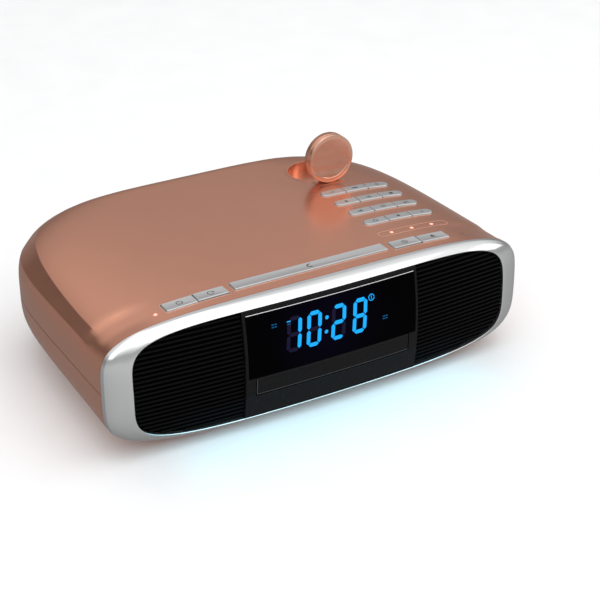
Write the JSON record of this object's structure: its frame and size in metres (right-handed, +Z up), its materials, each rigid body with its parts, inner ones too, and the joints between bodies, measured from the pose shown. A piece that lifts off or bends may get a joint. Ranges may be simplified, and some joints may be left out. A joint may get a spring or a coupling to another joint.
{
  "type": "clock radio",
  "caption": "Low wide tabletop clock radio with blue digit display, ribbed speaker grilles, sliding disc drawer, phone charging deck, key rows and a fold-down watch charging puck.",
  "frame": {"origin": "on the table, below the middle of the body", "axes": "+X to the right seen from the front, +Y to the back, +Z up"},
  "size_m": [0.371, 0.256, 0.1505],
  "materials": {
    "copper_paint": "gloss metallic copper paint on plastic",
    "satin_chrome": "satin",
    "black_plastic": "fine satin",
    "dark_panel": "satin",
    "smoked_window": "polished",
    "display_blue": "lit",
    "circuit_board": "solder mask",
    "dark_steel": "black coat",
    "cone_paper": "pressed paper",
    "coil_copper": "enamelled wire",
    "puck_white": "gloss",
    "bright_steel": "brushed",
    "gear_nylon": "moulded",
    "night_light": "frosted, lit",
    "status_light": "lit",
    "foot_rubber": "matte",
    "key_silver": "satin silver paint"
  },
  "bodies": {
    "radio": {"top_housing": "copper_paint", "bottom_housing": "copper_paint", "front_bezel": "satin_chrome", "front_baffle": "black_plastic", "grille_left": "black_plastic", "grille_right": "black_plastic", "centre_panel": "dark_panel", "display_window": "smoked_window", "display_module": "display_blue", "display_board": "circuit_board", "speaker_basket_left": "dark_steel", "speaker_basket_right": "dark_steel", "speaker_cone_left": "cone_paper", "speaker_cone_right": "cone_paper", "speaker_magnets": "dark_steel", "main_board": "circuit_board", "key_board": "circuit_board", "key_switches": "black_plastic", "charge_coils": "coil_copper", "coil_shield": "dark_steel", "watch_well": "copper_paint", "puck_hinge_pin": "bright_steel", "cd_chassis": "black_plastic", "clamp_bridge": "bright_steel", "disc_clamp": "black_plastic", "tray_motor": "bright_steel", "spindle_motor": "bright_steel", "sled_rods": "bright_steel", "jack_plate": "black_plastic", "dc_jack": "black_plastic", "aux_jack": "black_plastic", "night_light_lens": "night_light", "housing_screws": "bright_steel", "status_light_pipes": "status_light", "rubber_feet": "foot_rubber"},
    "drawer": {"cd_tray": "black_plastic", "tray_front": "dark_panel"},
    "pinion": {"tray_pinion": "gear_nylon"},
    "platter": {"platter": "black_plastic"},
    "sled": {"laser_sled": "black_plastic"},
    "puck": {"puck_back": "copper_paint", "puck_face": "puck_white", "puck_coil": "coil_copper"},
    "key_power_body": {"key_power": "key_silver"},
    "key_source_body": {"key_source": "key_silver"},
    "key_snooze_body": {"key_snooze": "key_silver"},
    "key_alarm_body": {"key_alarm": "key_silver"},
    "key_eject_body": {"key_eject": "key_silver"},
    "pad_1_left_body": {"pad_1_left": "key_silver"},
    "pad_1_mid_body": {"pad_1_mid": "key_silver"},
    "pad_1_right_body": {"pad_1_right": "key_silver"},
    "pad_2_left_body": {"pad_2_left": "key_silver"},
    "pad_2_mid_body": {"pad_2_mid": "key_silver"},
    "pad_2_right_body": {"pad_2_right": "key_silver"},
    "pad_3_left_body": {"pad_3_left": "key_silver"},
    "pad_3_mid_body": {"pad_3_mid": "key_silver"},
    "pad_3_right_body": {"pad_3_right": "key_silver"},
    "pad_4_left_body": {"pad_4_left": "key_silver"},
    "pad_4_mid_body": {"pad_4_mid": "key_silver"},
    "pad_4_right_body": {"pad_4_right": "key_silver"}
  },
  "joints": [
    {"name": "drawer_slide", "type": "slide", "parent": "radio", "child": "drawer", "axis": [0, -1, 0], "range_m": [0, 0.135]},
    {"name": "pinion_spin", "type": "hinge", "parent": "radio", "child": "pinion", "pos_m": [-0.05, -0.088, 0.035], "axis": [0, 0, 1], "range_deg": [0, 1106]},
    {"name": "platter_spin", "type": "hinge", "parent": "radio", "child": "platter", "pos_m": [0, -0.0535, 0.037], "axis": [0, 0, 1], "continuous": true},
    {"name": "sled_slide", "type": "slide", "parent": "radio", "child": "sled", "axis": [0, 1, 0], "range_m": [0, 0.035]},
    {"name": "puck_fold", "type": "hinge", "parent": "radio", "child": "puck", "pos_m": [0.1, 0.047, 0.104], "axis": [-1, 0, 0], "range_deg": [0, 90]},
    {"name": "key_power_press", "type": "slide", "parent": "radio", "child": "key_power_body", "axis": [0, 0, -1], "range_m": [0, 0.0008], "stiffness_N_per_m": 400},
    {"name": "key_source_press", "type": "slide", "parent": "radio", "child": "key_source_body", "axis": [0, 0, -1], "range_m": [0, 0.0008], "stiffness_N_per_m": 400},
    {"name": "key_snooze_press", "type": "slide", "parent": "radio", "child": "key_snooze_body", "axis": [0, 0, -1], "range_m": [0, 0.0008], "stiffness_N_per_m": 400},
    {"name": "key_alarm_press", "type": "slide", "parent": "radio", "child": "key_alarm_body", "axis": [0, 0, -1], "range_m": [0, 0.0008], "stiffness_N_per_m": 400},
    {"name": "key_eject_press", "type": "slide", "parent": "radio", "child": "key_eject_body", "axis": [0, 0, -1], "range_m": [0, 0.0008], "stiffness_N_per_m": 400},
    {"name": "pad_1_left_press", "type": "slide", "parent": "radio", "child": "pad_1_left_body", "axis": [0, 0, -1], "range_m": [0, 0.0008], "stiffness_N_per_m": 400},
    {"name": "pad_1_mid_press", "type": "slide", "parent": "radio", "child": "pad_1_mid_body", "axis": [0, 0, -1], "range_m": [0, 0.0008], "stiffness_N_per_m": 400},
    {"name": "pad_1_right_press", "type": "slide", "parent": "radio", "child": "pad_1_right_body", "axis": [0, 0, -1], "range_m": [0, 0.0008], "stiffness_N_per_m": 400},
    {"name": "pad_2_left_press", "type": "slide", "parent": "radio", "child": "pad_2_left_body", "axis": [0, 0, -1], "range_m": [0, 0.0008], "stiffness_N_per_m": 400},
    {"name": "pad_2_mid_press", "type": "slide", "parent": "radio", "child": "pad_2_mid_body", "axis": [0, 0, -1], "range_m": [0, 0.0008], "stiffness_N_per_m": 400},
    {"name": "pad_2_right_press", "type": "slide", "parent": "radio", "child": "pad_2_right_body", "axis": [0, 0, -1], "range_m": [0, 0.0008], "stiffness_N_per_m": 400},
    {"name": "pad_3_left_press", "type": "slide", "parent": "radio", "child": "pad_3_left_body", "axis": [0, 0, -1], "range_m": [0, 0.0008], "stiffness_N_per_m": 400},
    {"name": "pad_3_mid_press", "type": "slide", "parent": "radio", "child": "pad_3_mid_body", "axis": [0, 0, -1], "range_m": [0, 0.0008], "stiffness_N_per_m": 400},
    {"name": "pad_3_right_press", "type": "slide", "parent": "radio", "child": "pad_3_right_body", "axis": [0, 0, -1], "range_m": [0, 0.0008], "stiffness_N_per_m": 400},
    {"name": "pad_4_left_press", "type": "slide", "parent": "radio", "child": "pad_4_left_body", "axis": [0, 0, -1], "range_m": [0, 0.0008], "stiffness_N_per_m": 400},
    {"name": "pad_4_mid_press", "type": "slide", "parent": "radio", "child": "pad_4_mid_body", "axis": [0, 0, -1], "range_m": [0, 0.0008], "stiffness_N_per_m": 400},
    {"name": "pad_4_right_press", "type": "slide", "parent": "radio", "child": "pad_4_right_body", "axis": [0, 0, -1], "range_m": [0, 0.0008], "stiffness_N_per_m": 400}
  ],
  "couplings": [
    {"joint": "pinion_spin", "follows": "drawer_slide", "rad_per_m": 142.86}
  ]
}
